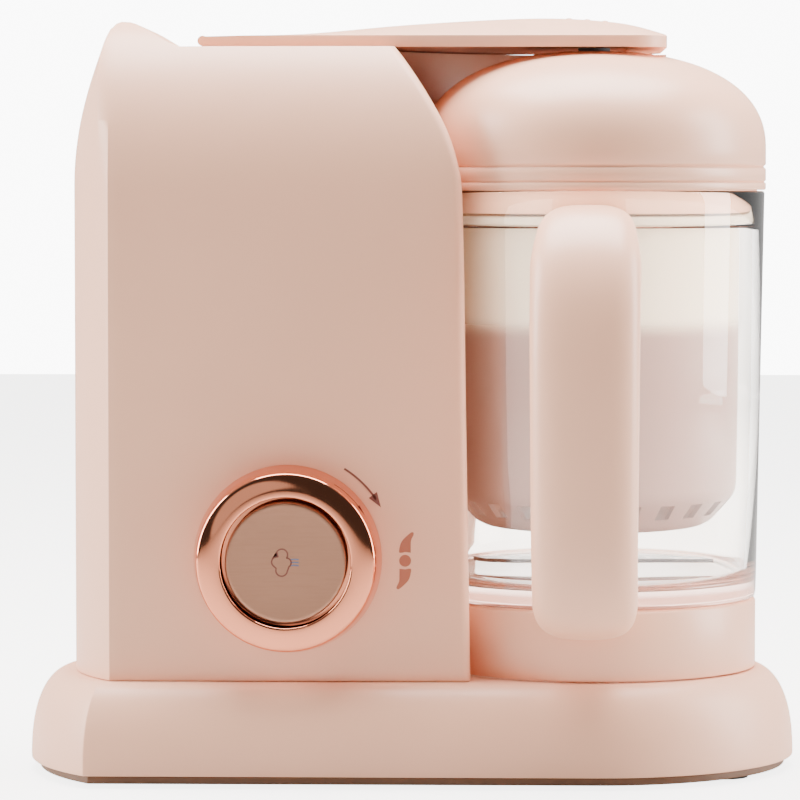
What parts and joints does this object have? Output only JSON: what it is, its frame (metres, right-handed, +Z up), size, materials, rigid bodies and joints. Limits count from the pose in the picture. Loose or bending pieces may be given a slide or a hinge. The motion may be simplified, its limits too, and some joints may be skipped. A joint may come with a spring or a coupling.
{
  "type": "baby food maker",
  "caption": "Countertop baby food maker: a peach steam tower with a rose gold knob beside a clear handled blender bowl under a domed lid.",
  "frame": {"origin": "middle of the bounding box, on the ground under the feet", "axes": "+Z up, -Y out of the front that carries the knob and the bowl handle, +X towards the bowl"},
  "size_m": [0.2632, 0.1668, 0.2585],
  "materials": {
    "peach_plastic": "fine matte moulded",
    "brown_plastic": "matte moulded",
    "rose_gold": "polished, rose tinted plating",
    "satin_copper": "satin copper paint",
    "clear_bowl": "clear, polished",
    "tinted_basket": "clear at the top, frosted lower down",
    "steel": "plain",
    "aluminium": "plain",
    "silicone": "soft, matte",
    "black_rubber": "matte",
    "grey_nylon": "matte",
    "brass": "plain",
    "green_board": "board lacquer"
  },
  "bodies": {
    "root": {"base_shell": "peach_plastic", "bottom_plate": "brown_plastic", "base_screw_1": "steel", "base_screw_2": "steel", "base_screw_3": "steel", "base_screw_4": "steel", "foot_1": "black_rubber", "foot_2": "black_rubber", "foot_3": "black_rubber", "foot_4": "black_rubber", "tower_shell": "peach_plastic", "cord_gland": "black_rubber", "boiler_tank": "steel", "boiler_neck": "steel", "boiler_seal": "silicone", "heating_plate": "aluminium", "thermostat": "steel", "thermal_fuse": "brass", "boiler_bracket": "steel", "hinge_bracket": "steel", "arm_hinge_pin": "steel", "rotary_switch": "grey_nylon", "button_switch": "black_rubber", "drive_belt": "black_rubber", "motor_bracket": "steel", "motor_can": "steel", "drive_bush": "brass", "lower_bush": "brass", "control_board": "green_board", "relay": "black_rubber", "capacitor": "aluminium", "bowl_safety_switch": "black_rubber"},
    "arm": {"arm_cover": "peach_plastic", "arm_liner": "peach_plastic", "boiler_plug": "silicone", "steam_nozzle": "grey_nylon"},
    "bowl": {"bowl_clear": "clear_bowl", "bowl_collar": "peach_plastic", "bowl_handle": "peach_plastic", "steam_basket": "tinted_basket", "blade_bush": "grey_nylon", "blade_seal": "silicone"},
    "lid": {"lid_dome": "peach_plastic", "lid_port_seal": "silicone", "lid_seal": "silicone"},
    "knob": {"knob_ring": "rose_gold", "knob_shaft": "grey_nylon", "button_spring": "steel"},
    "button": {"steam_button": "satin_copper"},
    "drive": {"drive_shaft": "steel", "driven_pulley": "grey_nylon", "driven_pulley_hub": "brass", "drive_coupler": "grey_nylon", "bowl_coupler": "grey_nylon", "blade_spindle": "steel", "chopping_blade": "steel", "blade_collar": "grey_nylon", "blade_nut": "grey_nylon"},
    "motor": {"motor_shaft": "steel", "motor_pulley": "grey_nylon"}
  },
  "joints": [
    {"name": "arm_open", "type": "hinge", "parent": "root", "child": "arm", "pos_m": [-0.0711, 0.0343, 0.2492], "axis": [0, -1, 0], "range_deg": [0, 100]},
    {"name": "bowl_turn", "type": "hinge", "parent": "root", "child": "bowl", "pos_m": [0.0623, 0.0143, 0.0341], "axis": [0, 0, 1], "range_deg": [0, 30]},
    {"name": "lid_turn", "type": "hinge", "parent": "bowl", "child": "lid", "pos_m": [0.0623, 0.0143, 0.1986], "axis": [0, 0, 1], "range_deg": [0, 25]},
    {"name": "knob_turn", "type": "hinge", "parent": "root", "child": "knob", "pos_m": [-0.0407, -0.0397, 0.0755], "axis": [0, 1, 0], "range_deg": [0, 45], "stiffness_Nm_per_rad": 0.05},
    {"name": "button_press", "type": "slide", "parent": "knob", "child": "button", "axis": [0, 1, 0], "range_m": [0, 0.002], "stiffness_N_per_m": 400},
    {"name": "drive_spin", "type": "hinge", "parent": "root", "child": "drive", "pos_m": [0.0623, 0.0143, 0.02], "axis": [0, 0, 1], "continuous": true},
    {"name": "motor_spin", "type": "hinge", "parent": "root", "child": "motor", "pos_m": [-0.0417, 0.0363, 0.02], "axis": [0, 0, 1], "continuous": true}
  ],
  "couplings": [
    {"joint": "motor_spin", "follows": "drive_spin", "ratio": 3.1111}
  ]
}
